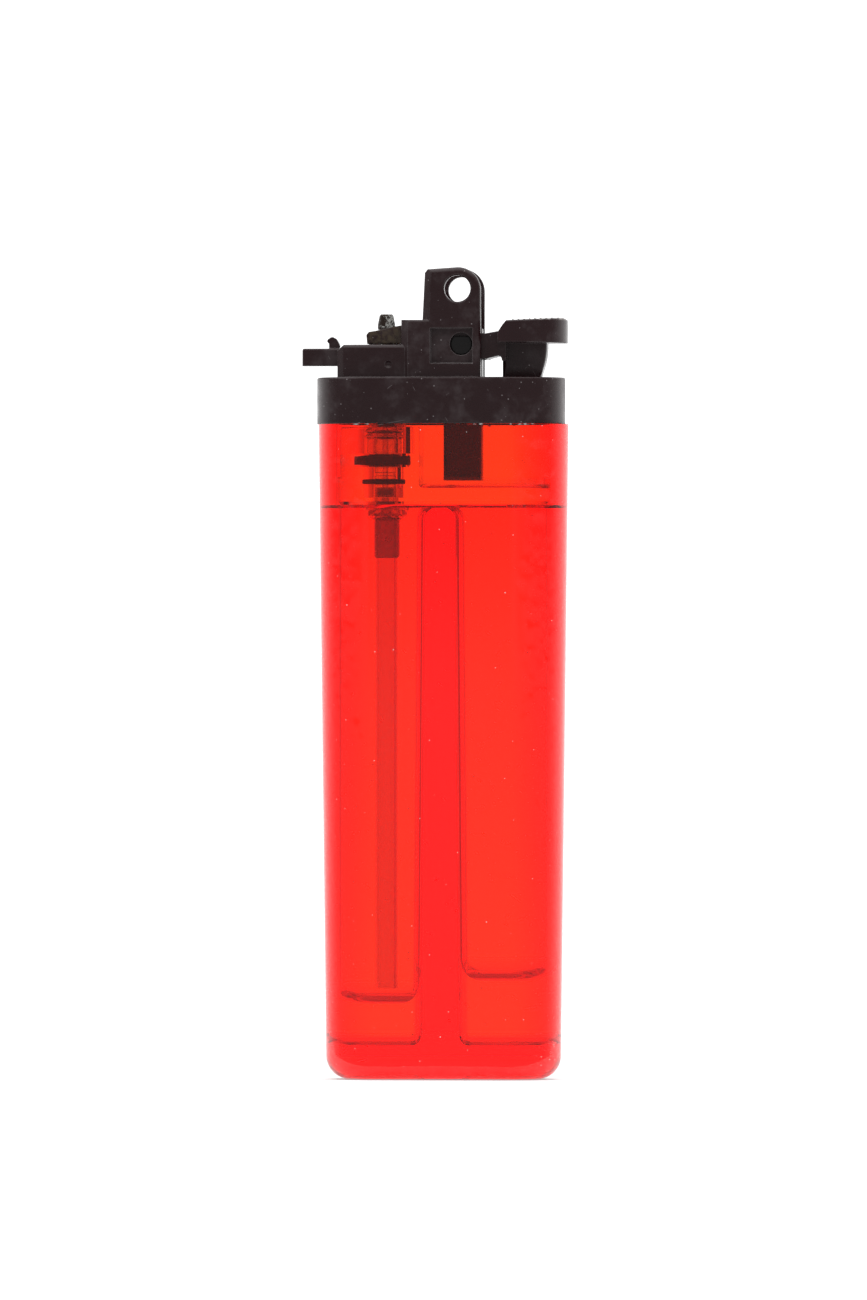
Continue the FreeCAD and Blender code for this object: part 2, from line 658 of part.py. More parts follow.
PARTS = {
    "tank": tank,
    "tank_plug": tank_plug,
    "head": head,
    "thumb_lever": thumb_lever,
    "lever_spring": lever_spring,
    "flame_adjuster": flame_adjuster,
    "adjuster_screw": adjuster_screw,
    "jet": jet,
    "jet_seal": jet_seal,
    "valve_body": valve_body,
    "valve_gasket": valve_gasket,
    "valve_o_ring": valve_o_ring,
    "filter_disc": filter_disc,
    "filter_washers": filter_washers,
    "wick_holder": wick_holder,
    "dip_tube": dip_tube,
    "flint_spring": flint_spring,
    "flint": flint,
    "fuel_valve_side": fuel_valve_side,
    "fuel_flint_side": fuel_flint_side,
}


def main():
    os.makedirs("parts", exist_ok=True)
    for name, make in PARTS.items():
        shape = make()
        if not shape.isValid():
            print("NOT VALID", name)
        solids = len(shape.Solids)
        print(f"{name}: {solids} solid(s), {shape.Volume:.2f} mm3")
        shape.exportStep(f"parts/{name}.step")


main()
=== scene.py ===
import bpy
import bmesh
import json
import math
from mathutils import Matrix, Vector


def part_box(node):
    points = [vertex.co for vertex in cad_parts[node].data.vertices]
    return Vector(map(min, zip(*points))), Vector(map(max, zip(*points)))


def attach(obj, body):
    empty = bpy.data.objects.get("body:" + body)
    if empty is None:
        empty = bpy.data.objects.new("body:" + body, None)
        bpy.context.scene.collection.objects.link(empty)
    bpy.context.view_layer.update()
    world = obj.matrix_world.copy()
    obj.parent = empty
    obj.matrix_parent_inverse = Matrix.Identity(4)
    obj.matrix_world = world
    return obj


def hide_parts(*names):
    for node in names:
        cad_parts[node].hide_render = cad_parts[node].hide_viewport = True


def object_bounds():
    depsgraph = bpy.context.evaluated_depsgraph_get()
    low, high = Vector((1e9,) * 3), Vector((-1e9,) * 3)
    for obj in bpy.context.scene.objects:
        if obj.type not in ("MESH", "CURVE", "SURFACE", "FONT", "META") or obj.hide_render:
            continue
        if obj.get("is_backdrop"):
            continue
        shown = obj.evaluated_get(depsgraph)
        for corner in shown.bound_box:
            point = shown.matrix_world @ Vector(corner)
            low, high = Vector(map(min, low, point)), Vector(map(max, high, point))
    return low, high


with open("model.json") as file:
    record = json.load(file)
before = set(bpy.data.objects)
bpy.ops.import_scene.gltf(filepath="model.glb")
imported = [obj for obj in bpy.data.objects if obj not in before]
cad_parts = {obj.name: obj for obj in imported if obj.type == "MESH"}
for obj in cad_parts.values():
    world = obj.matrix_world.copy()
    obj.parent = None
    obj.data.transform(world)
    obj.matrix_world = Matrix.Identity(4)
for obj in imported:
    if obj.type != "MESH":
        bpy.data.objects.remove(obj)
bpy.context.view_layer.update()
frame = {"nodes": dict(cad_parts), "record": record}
nodes = frame["nodes"]
mm = 0.001
print("frame loaded:", len(nodes), "nodes")

# settings that many nodes share
smooth = {"interpolation_type": "SMOOTHSTEP"}
multiply = {"operation": "MULTIPLY"}
larger = {"operation": "MAXIMUM"}
ofColours = {"data_type": "RGBA"}
scratchGap = 9              # widths from one scratch to the next


def toLinear(hexColour):
    parts = [int(hexColour[i:i + 2], 16) / 255 for i in (1, 3, 5)]
    return [c / 12.92 if c <= 0.04045 else ((c + 0.055) / 1.055) ** 2.4 for c in parts] + [1.0]


def addNode(tree, kind, settings=None, inputs=None):
    # an input takes a value, a socket, or a node, which gives its first output
    node = tree.nodes.new(kind)
    for name, value in (settings or {}).items():
        setattr(node, name, value)
    for name, value in (inputs or {}).items():
        if isinstance(value, bpy.types.Node):
            value = value.outputs[0]
        if isinstance(value, bpy.types.NodeSocket):
            tree.links.new(value, node.inputs[name])
        else:
            node.inputs[name].default_value = value
    return node


def rising(low, high):
    # makes a Map Range go from 0 at low to 1 at high
    return {"From Min": low, "From Max": high}


def falling(low, high):
    # the other way round
    return {"From Min": low, "From Max": high, "To Min": 1.0, "To Max": 0.0}


def newMaterial(name):
    material = bpy.data.materials.new(name)
    material.use_nodes = True
    tree = material.node_tree
    where = addNode(tree, "ShaderNodeTexCoord").outputs["Object"]
    return material, tree, tree.nodes["Principled BSDF"], where


def addSpecks(tree, where, spacing, radius, share):
    # round specks: one chance in each cell of the given spacing, all sizes up to radius
    cells = addNode(tree, "ShaderNodeTexVoronoi", inputs={"Vector": where, "Scale": 1 / spacing})
    chance = addNode(tree, "ShaderNodeSeparateColor", inputs={"Color": cells.outputs["Color"]})
    size = addNode(tree, "ShaderNodeMapRange", inputs={
        "Value": chance.outputs["Red"], **rising(1 - share, 1.0), "To Min": 0.0, "To Max": radius / spacing})
    return addNode(tree, "ShaderNodeMath", {"operation": "LESS_THAN"},
                   {0: cells.outputs["Distance"], 1: size})


def addScratches(tree, where, width, length, turn, share):
    # straight scratches: specks drawn out along one direction
    lean = addNode(tree, "ShaderNodeMapping", {"vector_type": "TEXTURE"}, {
        "Vector": where, "Rotation": turn, "Scale": (1.0, 1.0, length / width)})
    return addSpecks(tree, lean.outputs["Vector"], width * scratchGap, width, share)


redTankLook = {
    "ior": 1.57, "polish": 0.012, "scratched": 0.3,
    "absorbColour": "#FFC000", "absorbDensity": 3200.0,
    "dustSpacing": 0.9 * mm, "dustRadius": 0.06 * mm, "dustShare": 0.7,
    # chips where the base has been knocked: how far out, and below what height
    "chipSpacing": 0.42 * mm, "chipRadius": 0.07 * mm, "chipShare": 0.8,
    "chipSides": (8.6 * mm, 10.2 * mm), "chipHeights": (2.5 * mm, 5.0 * mm),
    # a pale, patchy band along the seam under the head
    "seamHeights": (63.05 * mm, 63.14 * mm), "paleBandSize": 0.5 * mm, "paleBandEdge": (0.5, 0.62),
    "patchSize": 4.5 * mm, "patchEdge": (0.52, 0.6),
    "scratchWidth": 0.035 * mm, "scratchLength": 1.6 * mm, "scratchShare": 0.16,
    "scratchTurns": ((0.1, 0.55, 0.0), (0.0, -0.9, 0.2), (0.3, 1.35, 0.0)),
}


def makeRedSan():
    # SAN, injection moulded in a polished mould and dyed right through: it has a hard gloss, and
    # the longer the way through it, the deeper the red
    material, tree, shader, where = newMaterial("redSan")
    look = redTankLook
    shader.inputs["Base Color"].default_value = toLinear("#FFFFFF")
    shader.inputs["IOR"].default_value = look["ior"]
    axes = addNode(tree, "ShaderNodeSeparateXYZ", inputs={"Vector": where})
    dust = addSpecks(tree, where, look["dustSpacing"], look["dustRadius"], look["dustShare"])

    # a pale, patchy band along the seam under the head, where the tank meets the collar
    paleBandNoise = addNode(tree, "ShaderNodeTexNoise", inputs={
        "Vector": where, "Scale": 1 / look["paleBandSize"], "Detail": 3.0})
    paleBand = addNode(tree, "ShaderNodeMapRange", smooth, {"Value": paleBandNoise, **rising(*look["paleBandEdge"])})
    blotches = addNode(tree, "ShaderNodeTexNoise", inputs={
        "Vector": where, "Scale": 1 / look["patchSize"], "Detail": 1.0})
    patches = addNode(tree, "ShaderNodeMapRange", smooth, {"Value": blotches, **rising(*look["patchEdge"])})
    paleBand = addNode(tree, "ShaderNodeMath", multiply, {0: paleBand, 1: patches})
    seam = addNode(tree, "ShaderNodeMapRange", smooth, {
        "Value": axes.outputs["Z"], **rising(*look["seamHeights"])})
    seam = addNode(tree, "ShaderNodeMath", multiply, {0: seam, 1: paleBand})

    outward = addNode(tree, "ShaderNodeMath", {"operation": "ABSOLUTE"}, {0: axes.outputs["X"]})
    sides = addNode(tree, "ShaderNodeMapRange", smooth, {"Value": outward, **rising(*look["chipSides"])})
    foot = addNode(tree, "ShaderNodeMapRange", smooth, {
        "Value": axes.outputs["Z"], **falling(*look["chipHeights"])})
    corners = addNode(tree, "ShaderNodeMath", multiply, {0: sides, 1: foot})
    chips = addSpecks(tree, where, look["chipSpacing"], look["chipRadius"], look["chipShare"])
    chips = addNode(tree, "ShaderNodeMath", multiply, {0: chips, 1: corners})

    worn = addNode(tree, "ShaderNodeMath", larger, {0: chips, 1: seam})
    worn = addNode(tree, "ShaderNodeMath", larger, {0: dust, 1: worn})
    clear = addNode(tree, "ShaderNodeMath", {"operation": "SUBTRACT"}, {0: 1.0, 1: worn})
    tree.links.new(clear.outputs["Value"], shader.inputs["Transmission Weight"])

    scratches = [addScratches(tree, where, look["scratchWidth"], look["scratchLength"], turn,
                              look["scratchShare"]) for turn in look["scratchTurns"]]
    lines = scratches[0]
    for more in scratches[1:]:
        lines = addNode(tree, "ShaderNodeMath", larger, {0: lines, 1: more})
    rough = addNode(tree, "ShaderNodeMapRange", inputs={
        "Value": lines, "To Min": look["polish"], "To Max": look["scratched"]})
    tree.links.new(rough.outputs["Result"], shader.inputs["Roughness"])
    dye = addNode(tree, "ShaderNodeVolumeAbsorption", inputs={
        "Color": toLinear(look["absorbColour"]), "Density": look["absorbDensity"]})
    tree.links.new(dye.outputs["Volume"], tree.nodes["Material Output"].inputs["Volume"])
    return material


hazeLook = {"size": 0.8 * mm, "edge": (0.35, 0.7), "most": 2.0}


def makeClearPlastic(name, ior, roughness, colour="#FFFFFF"):
    # clear or milky, with a faint haze that comes and goes
    material, tree, shader, where = newMaterial(name)
    shader.inputs["Base Color"].default_value = toLinear(colour)
    shader.inputs["Transmission Weight"].default_value = 1.0
    shader.inputs["IOR"].default_value = ior
    cloud = addNode(tree, "ShaderNodeTexNoise", inputs={
        "Vector": where, "Scale": 1 / hazeLook["size"], "Detail": 2.0})
    haze = addNode(tree, "ShaderNodeMapRange", inputs={
        "Value": cloud, **rising(*hazeLook["edge"]),
        "To Min": roughness, "To Max": roughness * hazeLook["most"]})
    tree.links.new(haze.outputs["Result"], shader.inputs["Roughness"])
    return material


blackLook = {
    # the dust colour is also the colour of the painted edge highlight
    "colour": "#2E1317", "dust": "#A8A0A2", "ior": 1.48,
    "roughness": 0.27, "polished": 0.07, "dulled": 0.16,        # polished takes away, dulled adds
    "cloud": 2.6 * mm, "cloudEdge": (0.35, 0.68),
    "film": 0.11, "filmEdge": (0.47, 0.72),
    # pocket dust is 0.02 mm or so, and is drawn larger so that it shows
    "fleck": 0.75, "fleckSpacing": 0.6 * mm, "fleckRadius": 0.07 * mm, "fleckShare": 0.9,
    "hair": 0.5, "hairWidth": 0.03 * mm, "hairLength": 1.4 * mm, "hairShare": 0.4,
    "hairTurns": ((0.0, 0.9, 0.1), (0.1, -0.5, 0.0), (0.0, 1.4, 0.0)),
    # edgeRound also softens the edges' shading; the rest sets the painted highlight along the edges: how
    # strong, where an edge starts, and in which patches
    "edgeRound": 0.2 * mm, "edgeHighlight": 0.42, "edgeTurn": (0.86, 0.985), "edgePatches": (0.36, 0.58),
    # the mould's grain is about 0.05 mm, and is drawn coarser so that it shows
    "grain": 0.2 * mm, "grainDepth": 0.012 * mm, "grainStrength": 0.5,
}


def makeBlackMoulding(name):
    # acetal from a worn steel mould: near black, satin, a fine grain, pocket dust, and a painted highlight
    # that lightens the edges
    material, tree, shader, where = newMaterial(name)
    look = blackLook
    shader.inputs["IOR"].default_value = look["ior"]
    grain = addNode(tree, "ShaderNodeTexNoise", inputs={
        "Vector": where, "Scale": 1 / look["grain"], "Detail": 4.0})
    cloud = addNode(tree, "ShaderNodeTexNoise", inputs={
        "Vector": where, "Scale": 1 / look["cloud"], "Detail": 6.0, "Roughness": 0.68})
    spread = addNode(tree, "ShaderNodeMapRange", inputs={
        "Value": cloud, **rising(*look["cloudEdge"]),
        "To Min": look["roughness"] - look["polished"], "To Max": look["roughness"] + look["dulled"]})
    tree.links.new(spread.outputs["Result"], shader.inputs["Roughness"])

    # painted highlight: where the softened edge leans away from the flat face, the edge is painted lighter,
    # in patches
    rounded = addNode(tree, "ShaderNodeBevel", {"samples": 6}, {"Radius": look["edgeRound"]})
    flat = addNode(tree, "ShaderNodeNewGeometry")
    lean = addNode(tree, "ShaderNodeVectorMath", {"operation": "DOT_PRODUCT"},
                   {0: rounded, 1: flat.outputs["Normal"]})
    edge = addNode(tree, "ShaderNodeMapRange", smooth, {
        "Value": lean.outputs["Value"], **falling(*look["edgeTurn"])})
    edgeHighlightPatches = addNode(tree, "ShaderNodeMapRange", smooth, {
        "Value": cloud, **rising(*look["edgePatches"]), "To Max": look["edgeHighlight"]})
    edge = addNode(tree, "ShaderNodeMath", multiply, {0: edge, 1: edgeHighlightPatches})

    flecks = addSpecks(tree, where, look["fleckSpacing"], look["fleckRadius"], look["fleckShare"])
    for turn in look["hairTurns"]:
        hair = addScratches(tree, where, look["hairWidth"], look["hairLength"], turn, look["hairShare"])
        hair = addNode(tree, "ShaderNodeMath", multiply, {0: hair, 1: look["hair"]})
        flecks = addNode(tree, "ShaderNodeMath", larger, {0: flecks, 1: hair})
    flecks = addNode(tree, "ShaderNodeMath", multiply, {0: flecks, 1: look["fleck"]})
    film = addNode(tree, "ShaderNodeMapRange", smooth, {
        "Value": cloud, **rising(*look["filmEdge"]), "To Max": look["film"]})
    # the painted edge highlight is joined to the film here, so both lighten the colour towards the dust
    # colour
    film = addNode(tree, "ShaderNodeMath", larger, {0: film, 1: edge})
    dustAndEdgeHighlight = addNode(tree, "ShaderNodeMath", larger, {0: film, 1: flecks})
    mixed = addNode(tree, "ShaderNodeMix", ofColours, {
        0: dustAndEdgeHighlight, 6: toLinear(look["colour"]), 7: toLinear(look["dust"])})
    tree.links.new(mixed.outputs[2], shader.inputs["Base Color"])
    bump = addNode(tree, "ShaderNodeBump", inputs={
        "Strength": look["grainStrength"], "Distance": look["grainDepth"],
        "Height": grain, "Normal": rounded})
    tree.links.new(bump.outputs["Normal"], shader.inputs["Normal"])
    return material, tree, shader, where


leverLook = {
    "cloud": 0.5 * mm,
    "scorch": "#5A4A38", "scorchEnds": (-4.6 * mm, -3.4 * mm), "scorchEdge": (0.3, 0.62),
    "crust": "#A8A09C", "crustEnds": (6.2 * mm, 6.7 * mm), "crustHeights": (73.14 * mm, 73.34 * mm),
    "crustEdge": (0.36, 0.6),
    # painted shade: the near-black colour at the pivots stands for the shadow inside the pivot holes
    "pivotShadeColour": "#0C0607", "pivot": (1.9 * mm, 0.0, 70.9 * mm),
    "pinRadius": (1.04 * mm, 1.1 * mm), "pinDepth": (2.9 * mm, 3.0 * mm),
}


def makeLeverPlastic():
    # the same acetal, browned by the flame at the fork, with its grip ribs worn pale and packed
    # with dust, and with painted shade darkening the pin ends deep in its pivot holes
    material, tree, shader, where = makeBlackMoulding("leverAcetal")
    look = leverLook
    bare = shader.inputs["Base Color"].links[0].from_socket
    axes = addNode(tree, "ShaderNodeSeparateXYZ", inputs={"Vector": where})
    cloud = addNode(tree, "ShaderNodeTexNoise", inputs={
        "Vector": where, "Scale": 1 / look["cloud"], "Detail": 4.0})

    fork = addNode(tree, "ShaderNodeMapRange", smooth, {
        "Value": axes.outputs["X"], **falling(*look["scorchEnds"])})
    scorched = addNode(tree, "ShaderNodeMapRange", smooth, {"Value": cloud, **rising(*look["scorchEdge"])})
    scorched = addNode(tree, "ShaderNodeMath", multiply, {0: fork, 1: scorched})

    pad = addNode(tree, "ShaderNodeMapRange", smooth, {
        "Value": axes.outputs["X"], **rising(*look["crustEnds"])})
    padTop = addNode(tree, "ShaderNodeMapRange", smooth, {
        "Value": axes.outputs["Z"], **rising(*look["crustHeights"])})
    padTop = addNode(tree, "ShaderNodeMath", multiply, {0: pad, 1: padTop})
    crust = addNode(tree, "ShaderNodeMapRange", smooth, {"Value": cloud, **rising(*look["crustEdge"])})
    crust = addNode(tree, "ShaderNodeMath", multiply, {0: padTop, 1: crust})

    # painted shade: the pin ends deep in the pivot holes are darkened to stand for the shadow there
    sideways = addNode(tree, "ShaderNodeCombineXYZ", inputs={
        "X": axes.outputs["X"], "Z": axes.outputs["Z"]})
    fromPivot = addNode(tree, "ShaderNodeVectorMath", {"operation": "DISTANCE"},
                        {0: sideways, 1: look["pivot"]})
    pin = addNode(tree, "ShaderNodeMapRange", smooth, {
        "Value": fromPivot.outputs["Value"], **falling(*look["pinRadius"])})
    outward = addNode(tree, "ShaderNodeMath", {"operation": "ABSOLUTE"}, {0: axes.outputs["Y"]})
    pivotShadeMask = addNode(tree, "ShaderNodeMapRange", smooth, {"Value": outward, **rising(*look["pinDepth"])})
    pivotShadeMask = addNode(tree, "ShaderNodeMath", multiply, {0: pin, 1: pivotShadeMask})

    shade = bare
    for share, colour in ((pivotShadeMask, "pivotShadeColour"), (scorched, "scorch"), (crust, "crust")):
        mixed = addNode(tree, "ShaderNodeMix", ofColours, {0: share, 6: shade, 7: toLinear(look[colour])})
        shade = mixed.outputs[2]
    tree.links.new(shade, shader.inputs["Base Color"])
    return material


jetLook = {
    "metal": "#352820", "metalRough": 0.42, "metallic": 0.5,
    "crust": "#D9DAD6", "crustRough": 0.9, "crustSize": 0.3 * mm, "crustEdge": (0.58, 0.67),
    "crustDepth": 0.05 * mm, "crustStrength": 0.9,
    # the side that the flame licks, as a slanting line across the nozzle, has more of it
    "flameSlant": 0.5, "flameSide": (-42.5 * mm, -41.6 * mm), "flameShare": 0.16,
}


def makeJetMetal():
    # die-cast zinc alloy, browned by heat, with a rough white crust of burnt residue
    material, tree, shader, where = newMaterial("castZinc")
    look = jetLook
    shader.inputs["Metallic"].default_value = look["metallic"]
    crust = addNode(tree, "ShaderNodeTexNoise", inputs={
        "Vector": where, "Scale": 1 / look["crustSize"], "Detail": 6.0, "Roughness": 0.7})
    axes = addNode(tree, "ShaderNodeSeparateXYZ", inputs={"Vector": where})
    slant = addNode(tree, "ShaderNodeMath", multiply, {0: axes.outputs["Z"], 1: look["flameSlant"]})
    slant = addNode(tree, "ShaderNodeMath", {"operation": "SUBTRACT"}, {0: axes.outputs["X"], 1: slant})
    flame = addNode(tree, "ShaderNodeMapRange", smooth, {
        "Value": slant, **rising(*look["flameSide"]), "To Max": look["flameShare"]})
    amount = addNode(tree, "ShaderNodeMath", {"operation": "ADD"}, {0: crust, 1: flame})
    crusted = addNode(tree, "ShaderNodeMapRange", smooth, {"Value": amount, **rising(*look["crustEdge"])})
    mixed = addNode(tree, "ShaderNodeMix", ofColours, {
        0: crusted, 6: toLinear(look["metal"]), 7: toLinear(look["crust"])})
    tree.links.new(mixed.outputs[2], shader.inputs["Base Color"])
    rough = addNode(tree, "ShaderNodeMapRange", inputs={
        "Value": crusted, "To Min": look["metalRough"], "To Max": look["crustRough"]})
    tree.links.new(rough.outputs["Result"], shader.inputs["Roughness"])
    bump = addNode(tree, "ShaderNodeBump", inputs={
        "Strength": look["crustStrength"], "Distance": look["crustDepth"], "Height": crust})
    tree.links.new(bump.outputs["Normal"], shader.inputs["Normal"])
    return material


opaqueLook = {"grain": 0.3 * mm, "tint": 0.12, "roughEdge": (0.3, 0.7), "roughSpread": (0.8, 1.25)}


def makeOpaque(name, colour, roughness, metallic=0.0):
    # an even finish with a fine change of shade and gloss over it
    material, tree, shader, where = newMaterial(name)
    look = opaqueLook
    shader.inputs["Metallic"].default_value = metallic
    cloud = addNode(tree, "ShaderNodeTexNoise", inputs={
        "Vector": where, "Scale": 1 / look["grain"], "Detail": 3.0})
    dark = [c * (1 - look["tint"]) for c in toLinear(colour)[:3]] + [1.0]
    light = [min(1.0, c * (1 + look["tint"])) for c in toLinear(colour)[:3]] + [1.0]
    mixed = addNode(tree, "ShaderNodeMix", ofColours, {0: cloud, 6: dark, 7: light})
    tree.links.new(mixed.outputs[2], shader.inputs["Base Color"])
    smoothest, roughest = look["roughSpread"]
    rough = addNode(tree, "ShaderNodeMapRange", inputs={
        "Value": cloud, **rising(*look["roughEdge"]),
        "To Min": roughness * smoothest, "To Max": roughness * roughest})
    tree.links.new(rough.outputs["Result"], shader.inputs["Roughness"])
    return material


materials = {
    "red_plastic": makeRedSan(),
    # SAN without dye, from a polished mould: as clear as glass
    "clear_plastic": makeClearPlastic("clearSan", 1.57, 0.02),
    "black_plastic": makeBlackMoulding("blackAcetal")[0],
    "lever_plastic": makeLeverPlastic(),
    # drawn and coiled wire: bright, with a soft sheen along it
    "spring_steel": makeOpaque("springSteel", "#B9B7B1", 0.25, metallic=1.0),
    "jet_metal": makeJetMetal(),
    # moulded nitrile: dull, and nearly black
    "rubber": makeOpaque("nitrileRubber", "#1B1717", 0.55),
    # natural acetal, moulded: milky, lets light through
    "valve_plastic": makeClearPlastic("valveAcetal", 1.48, 0.2, "#F4ECE0"),
    # pressed membrane: chalky
    "filter_foam": makeOpaque("filterMembrane", "#D8D2C0", 0.9),
    # natural acetal that has yellowed in the fuel
    "holder_plastic": makeClearPlastic("holderAcetal", 1.48, 0.14, "#D0B8A4"),
    # extruded polyamide tube: clear with a warm tinge
    "tube_plastic": makeClearPlastic("tubePolyamide", 1.5, 0.08, "#F2E6D8"),
    # sintered rod: dark grey and gritty
    "flint_metal": makeOpaque("ferrocerium", "#6A6660", 0.6, metallic=1.0),
    # liquid butane under its own pressure: clear, and bends light less than the plastic round it
    "fuel": makeClearPlastic("liquidButane", 1.33, 0.004),
}
# the screw's acetal is thinner and whiter than the valve's
screwPlastic = makeClearPlastic("screwAcetal", 1.48, 0.12, "#FBF8F2")

slotOf = {part["node"]: part["material_slot"] for part in frame["record"]["subparts"]}
for name, obj in nodes.items():
    obj.data.materials.clear()
    obj.data.materials.append(screwPlastic if name == "adjuster_screw" else materials[slotOf[name]])
print("materials on", len(nodes), "nodes")


def bridgeRings(shape, rings, close):
    # faces between each ring of points and the next, and with close from the last to the first
    count = len(rings[0])
    following = rings[1:] + (rings[:1] if close else [])
    for ring, other in zip(rings, following):
        for k in range(count):
            j = (k + 1) % count
            shape.faces.new((ring[k], ring[j], other[j], other[k]))


def finishPiece(name, shape, node, slot):
    bmesh.ops.recalc_face_normals(shape, faces=shape.faces)
    mesh = bpy.data.meshes.new(name)
    shape.to_mesh(mesh)
    shape.free()
    for face in mesh.polygons:
        face.use_smooth = True
    mesh.materials.append(materials[slot])
    piece = bpy.data.objects.new(name, mesh)
    bpy.context.scene.collection.objects.link(piece)
    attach(piece, "case")
    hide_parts(node)


fuelLook = {
    "overlap": 0.03 * mm,       # reaches this far into the plastic, so that no air film is drawn between
    "cornerRound": 0.95 * mm, "leastRound": 0.03 * mm, "floorRound": 1.1 * mm,
    "wallDraft": 0.15 / 51.8,   # the cell gets narrower towards the floor
    "endDraft": 0.9,            # share of that at the lighter's ends
    "endSteps": 32, "sideSteps": 7, "cornerSteps": 6, "dividerSteps": 5, "floorSteps": 8, "wallSteps": 6,
    # the liquid climbs the wall over this width, in steps in from the wall, in mm
    "climbWidth": 2.6 * mm,
    "climbSteps": (0.0, 0.01, 0.03, 0.08, 0.15, 0.25, 0.38, 0.55, 0.78, 1.05, 1.4, 1.8, 2.2, 2.6, 3.1),
    "fuel_valve_side": {"side": -1, "drop": 0.55 * mm, "climb": 2.1 * mm},
    "fuel_flint_side": {"side": 1, "drop": 0.65 * mm, "climb": 2.3 * mm},
}


def fuelOutline(lowest, highest, side, z, inset):
    # one ring round the cell: a half circle at the lighter's end, two small corners at the divider
    look = fuelLook
    fall = (highest.z - z) * look["wallDraft"]
    halfDepth = highest.y + look["overlap"] - fall
    outer = (highest.x if side > 0 else -lowest.x) + look["overlap"] - fall * look["endDraft"]
    inner = (lowest.x if side > 0 else -highest.x) - look["overlap"] + fall
    centre = outer - halfDepth
    half = halfDepth - inset
    corner = max(look["cornerRound"] - inset, look["leastRound"])
    divider = inner + inset
    run = divider + corner - centre
    quarter = [math.pi / 2 * k / look["cornerSteps"] for k in range(look["cornerSteps"] + 1)]
    ring = []
    for k in range(look["endSteps"] + 1):
        a = -math.pi / 2 + math.pi * k / look["endSteps"]
        ring.append((centre + half * math.cos(a), half * math.sin(a)))
    for k in range(1, look["sideSteps"]):
        ring.append((centre + run * k / look["sideSteps"], half))
    for a in quarter:
        ring.append((divider + corner - corner * math.sin(a), half - corner + corner * math.cos(a)))
    for k in range(1, look["dividerSteps"]):
        ring.append((divider, (half - corner) * (1 - 2 * k / look["dividerSteps"])))
    for a in quarter:
        ring.append((divider + corner - corner * math.cos(a), -(half - corner) - corner * math.sin(a)))
    for k in range(1, look["sideSteps"]):
        ring.append((divider + corner - run * k / look["sideSteps"], -half))
    return [Vector((side * x, y, z)) for x, y in ring]


def makeFuelPiece(node):
    # the liquid as one solid: rounded floor, straight walls, and a top that climbs the walls
    lowest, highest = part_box(node)
    look, own = fuelLook, fuelLook[node]
    side, climb = own["side"], own["climb"]
    level = highest.z - own["drop"]
    rimHeight = level + climb
    bottom = lowest.z - look["overlap"]
    wallStart = bottom + look["floorRound"]
    rings = []
    for k in range(look["floorSteps"] + 1):
        a = math.pi / 2 * k / look["floorSteps"]
        height = bottom + look["floorRound"] * (1 - math.cos(a))
        rings.append(fuelOutline(lowest, highest, side, height, look["floorRound"] * (1 - math.sin(a))))
    for k in range(1, look["wallSteps"] + 1):
        height = wallStart + (rimHeight - wallStart) * k / look["wallSteps"]
        rings.append(fuelOutline(lowest, highest, side, height, 0.0))
    wallTop = len(rings) - 1
    for step in look["climbSteps"]:
        ring = fuelOutline(lowest, highest, side, rimHeight, look["overlap"] + step * mm)
        reach = min(step * mm / look["climbWidth"], 1.0)
        for point in ring:
            point.z = level + climb * (1 - math.sqrt(1 - (1 - reach) ** 2))
        rings.append(ring)
    shape = bmesh.new()
    made = [[shape.verts.new(point) for point in ring] for ring in rings]
    bridgeRings(shape, made, close=False)
    shape.faces.new(list(reversed(made[0])))
    shape.faces.new(made[-1])
    # a sharp rim, because shading it smooth draws a dark line round the wall
    rim = {vertex for ring in made[wallTop:wallTop + 2] for vertex in ring}
    for edge in shape.edges:
        if all(vertex in rim for vertex in edge.verts):
            edge.smooth = False
    finishPiece(node + "Liquid", shape, node, "fuel")


makeFuelPiece("fuel_valve_side")
makeFuelPiece("fuel_flint_side")
print("fuel made")

sealLook = {
    "squeeze": 0.12 * mm,       # pressed this far into the bore, which wets it against the clear plastic
    "waves": 3, "waveStart": 1.0, "waveHeight": 0.015 * mm,     # squeezed rubber is never quite even
    "sections": 96,
    "valve_gasket": {"innerRadius": 1.66 * mm, "bulge": 0.15 * mm},
    "valve_o_ring": {"innerRadius": 1.36 * mm, "bulge": 0.12 * mm},
}


def makeSeal(node):
    lowest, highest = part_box(node)
    look, own = sealLook, sealLook[node]
    centre, height = (lowest + highest) / 2, highest.z - lowest.z
    outer = (highest.x - lowest.x) / 2 + look["squeeze"]
    inner, bulge = own["innerRadius"], own["bulge"]
    # radius, and height as a share of the seal's own, up the rounded outer face
    outline = [(inner, -0.5), (outer - bulge, -0.5), (outer - bulge * 0.3, -0.4), (outer, -0.25),
               (outer, 0.25), (outer - bulge * 0.3, 0.4), (outer - bulge, 0.5), (inner, 0.5)]
    shape = bmesh.new()
    rings = []
    for k in range(look["sections"]):
        a = 2 * math.pi * k / look["sections"]
        swell = 1 + look["waveHeight"] / outer * math.sin(look["waves"] * a + look["waveStart"])
        rings.append([shape.verts.new((centre.x + r * swell * math.cos(a), centre.y + r * swell * math.sin(a),
                                       centre.z + z * height)) for r, z in outline])
    bridgeRings(shape, rings, close=True)
    finishPiece(node + "Seal", shape, node, "rubber")


makeSeal("valve_gasket")
makeSeal("valve_o_ring")
print("seals made")

stageLook = {
    "floor": "#FBFBFB", "floorRough": 0.9, "floorGlow": 0.3, "floorGap": 0.05 * mm,
    "floorBack": 0.25, "floorFront": 0.006,
    "backdrop": 1.35,           # overexposed paper behind the lighter
    "backEdge": (-0.1, 0.9),    # how far round to the sides the backdrop reaches
    "frontGrey": 0.26,          # dim side of the studio, behind the camera
    "throughGrey": 0.45,        # the same as light finds it that came through the clear plastic
    "tableGrey": 0.22,          # the pale table top in front adds this below eye level
    "tableEdge": (-0.02, 0.0),
    "topLight": 1.5, "topEdge": (0.35, 0.9),
}

